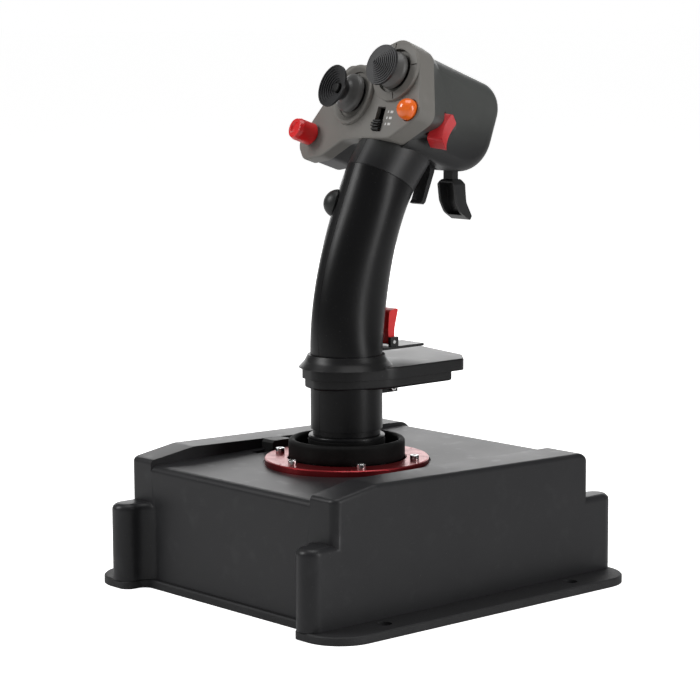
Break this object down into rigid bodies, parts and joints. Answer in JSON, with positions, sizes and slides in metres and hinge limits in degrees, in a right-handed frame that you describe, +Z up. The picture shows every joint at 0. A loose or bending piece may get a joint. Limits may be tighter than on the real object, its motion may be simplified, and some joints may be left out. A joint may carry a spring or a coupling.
{
  "type": "flight joystick",
  "caption": "Desk flight joystick: a box base with a sprung two-axis gimbal carries a leaning pilot's grip with hats, buttons, levers, trigger and palm rest.",
  "frame": {"origin": "on the underside of the base plate, under the middle of the base", "axes": "+Z up, +X to the pilot's right, +Y away from the pilot"},
  "size_m": [0.232, 0.248, 0.3297],
  "materials": {
    "plate_black": "textured black powder coat",
    "cover_black": "satin black moulding with a fine grain",
    "steel": "bright zinc-plated steel",
    "alloy": "machined",
    "red_alloy": "dark red anodised",
    "black_rubber": "matt moulded rubber",
    "board_green": "circuit board",
    "magnet": "nickel plated",
    "grip_black": "smooth satin black",
    "head_grey": "dark grey-green satin",
    "face_grey": "warm mid grey satin",
    "hat_black": "satin black with turned steps",
    "inner_plastic": "plain moulding",
    "orange": "glossy orange",
    "red_plastic": "semi-gloss red",
    "dark_alloy": "dark satin paint",
    "palm_black": "semi-gloss black"
  },
  "bodies": {
    "base": {"base_plate": "plate_black", "base_cover": "cover_black", "base_screws": "steel", "gimbal_frame": "alloy", "pitch_bearings": "steel", "ring_flange": "red_alloy", "ring_screws": "steel", "rubber_boot": "black_rubber", "main_board": "board_green", "board_screws": "steel", "usb_socket": "steel", "pitch_sensor_board": "board_green", "pitch_springs": "steel"},
    "release_latch": {"release_latch": "cover_black"},
    "pitch_yoke": {"pitch_yoke": "alloy", "roll_bearings": "steel", "pitch_magnet": "magnet", "roll_sensor_board": "board_green", "roll_spring": "steel"},
    "stick": {"roll_block": "alloy", "stick_tube": "steel", "roll_magnet": "magnet", "union_nut": "dark_alloy", "grip_adapter": "dark_alloy", "handle_right": "grip_black", "handle_left": "grip_black", "grip_screws": "steel", "head_shell_right": "head_grey", "head_shell_left": "head_grey", "neck_sleeve": "inner_plastic", "face_plate": "face_grey", "cone_hat_bezel": "face_grey", "dish_hat_bezel": "face_grey", "cone_hat_socket": "inner_plastic", "dish_hat_socket": "inner_plastic", "thumb_hat_socket": "inner_plastic", "face_board": "board_green", "lobe_board": "board_green", "paddle_bracket": "dark_alloy", "lever_pins": "steel"},
    "palm_rest": {"palm_rest": "palm_black", "palm_rest_screw": "steel"},
    "cone_hat_cross": {"cone_hat_cross": "inner_plastic"},
    "cone_hat": {"cone_hat_stem": "inner_plastic", "cone_hat_cap": "hat_black"},
    "dish_hat_cross": {"dish_hat_cross": "inner_plastic"},
    "dish_hat": {"dish_hat_stem": "inner_plastic", "dish_hat_cap": "hat_black"},
    "dish_hat_button": {"dish_hat_button": "hat_black"},
    "thumb_hat_cross": {"thumb_hat_cross": "inner_plastic"},
    "thumb_hat": {"thumb_hat_stem": "inner_plastic", "thumb_hat_cap": "hat_black"},
    "ball_button": {"ball_button": "orange"},
    "red_button": {"red_button": "red_plastic"},
    "mode_switch": {"mode_switch_knob": "hat_black"},
    "side_lever": {"side_lever": "red_plastic"},
    "trigger": {"trigger": "dark_alloy"},
    "fore_lever": {"fore_lever": "dark_alloy"},
    "red_paddle": {"red_paddle": "red_plastic"}
  },
  "joints": [
    {"name": "release_latch_slide", "type": "slide", "parent": "base", "child": "release_latch", "axis": [0, -1, 0], "range_m": [0, 0.01]},
    {"name": "pitch", "type": "hinge", "parent": "base", "child": "pitch_yoke", "pos_m": [0, -0.0125, 0.048], "axis": [1, 0, 0], "range_deg": [-10, 10], "stiffness_Nm_per_rad": 5, "springref_deg": 1.15, "deforming": ["pitch_springs", "rubber_boot"]},
    {"name": "roll", "type": "hinge", "parent": "pitch_yoke", "child": "stick", "pos_m": [0, -0.0125, 0.048], "axis": [0, 1, 0], "range_deg": [-10, 10], "stiffness_Nm_per_rad": 5, "springref_deg": 0.1, "deforming": ["roll_spring", "rubber_boot"]},
    {"name": "palm_rest_height", "type": "slide", "parent": "stick", "child": "palm_rest", "axis": [0, 0, 1], "range_m": [-0.01, 0]},
    {"name": "cone_hat_rock", "type": "hinge", "parent": "stick", "child": "cone_hat_cross", "pos_m": [0.012, 0.02551, 0.30846], "axis": [1, 0, 0], "range_deg": [-8, 8], "stiffness_Nm_per_rad": 0.12},
    {"name": "cone_hat_tilt", "type": "hinge", "parent": "cone_hat_cross", "child": "cone_hat", "pos_m": [0.012, 0.02551, 0.30846], "axis": [0, 0.342, 0.9397], "range_deg": [-8, 8], "stiffness_Nm_per_rad": 0.12},
    {"name": "dish_hat_rock", "type": "hinge", "parent": "stick", "child": "dish_hat_cross", "pos_m": [-0.02201, 0.02256, 0.2941], "axis": [0.9925, -0.1145, 0.0417], "range_deg": [-8, 8], "stiffness_Nm_per_rad": 0.12},
    {"name": "dish_hat_tilt", "type": "hinge", "parent": "dish_hat_cross", "child": "dish_hat", "pos_m": [-0.02201, 0.02256, 0.2941], "axis": [0, 0.342, 0.9397], "range_deg": [-8, 8], "stiffness_Nm_per_rad": 0.12},
    {"name": "thumb_hat_rock", "type": "hinge", "parent": "stick", "child": "thumb_hat_cross", "pos_m": [-0.0088, -0.00322, 0.23008], "axis": [0, 0.3891, 0.9212], "range_deg": [-5, 5], "stiffness_Nm_per_rad": 0.06},
    {"name": "thumb_hat_tilt", "type": "hinge", "parent": "thumb_hat_cross", "child": "thumb_hat", "pos_m": [-0.0088, -0.00322, 0.23008], "axis": [-0.7431, 0.6164, -0.2604], "range_deg": [-5, 5], "stiffness_Nm_per_rad": 0.06},
    {"name": "dish_hat_button_press", "type": "slide", "parent": "dish_hat", "child": "dish_hat_button", "axis": [0.1219, 0.9327, -0.3395], "range_m": [0, 0.0006], "stiffness_N_per_m": 300, "springref_m": -0.0005},
    {"name": "ball_button_press", "type": "slide", "parent": "stick", "child": "ball_button", "axis": [0, 0.9397, -0.342], "range_m": [0, 0.0012], "stiffness_N_per_m": 600, "springref_m": -0.0005},
    {"name": "red_button_press", "type": "slide", "parent": "stick", "child": "red_button", "axis": [0.1219, 0.9327, -0.3395], "range_m": [0, 0.0015], "stiffness_N_per_m": 600, "springref_m": -0.0005},
    {"name": "mode_switch_slide", "type": "slide", "parent": "stick", "child": "mode_switch", "axis": [0, 0.342, 0.9397], "range_m": [0, 0.0076]},
    {"name": "side_lever_press", "type": "hinge", "parent": "stick", "child": "side_lever", "pos_m": [0.02792, 0.04082, 0.28175], "axis": [-0.3927, 0.6853, -0.6134], "range_deg": [0, 6], "stiffness_Nm_per_rad": 0.2, "springref_deg": -2.86},
    {"name": "trigger_pull", "type": "hinge", "parent": "stick", "child": "trigger", "pos_m": [0, 0.075, 0.261], "axis": [-1, 0, 0], "range_deg": [0, 12], "stiffness_Nm_per_rad": 0.3, "springref_deg": -5.73},
    {"name": "fore_lever_pull", "type": "hinge", "parent": "stick", "child": "fore_lever", "pos_m": [0, 0.0555, 0.257], "axis": [-1, 0, 0], "range_deg": [0, 5], "stiffness_Nm_per_rad": 0.3, "springref_deg": -5.73},
    {"name": "red_paddle_pull", "type": "hinge", "parent": "stick", "child": "red_paddle", "pos_m": [0, 0.0185, 0.1473], "axis": [1, 0, 0], "range_deg": [0, 6], "stiffness_Nm_per_rad": 0.3, "springref_deg": -5.73}
  ]
}
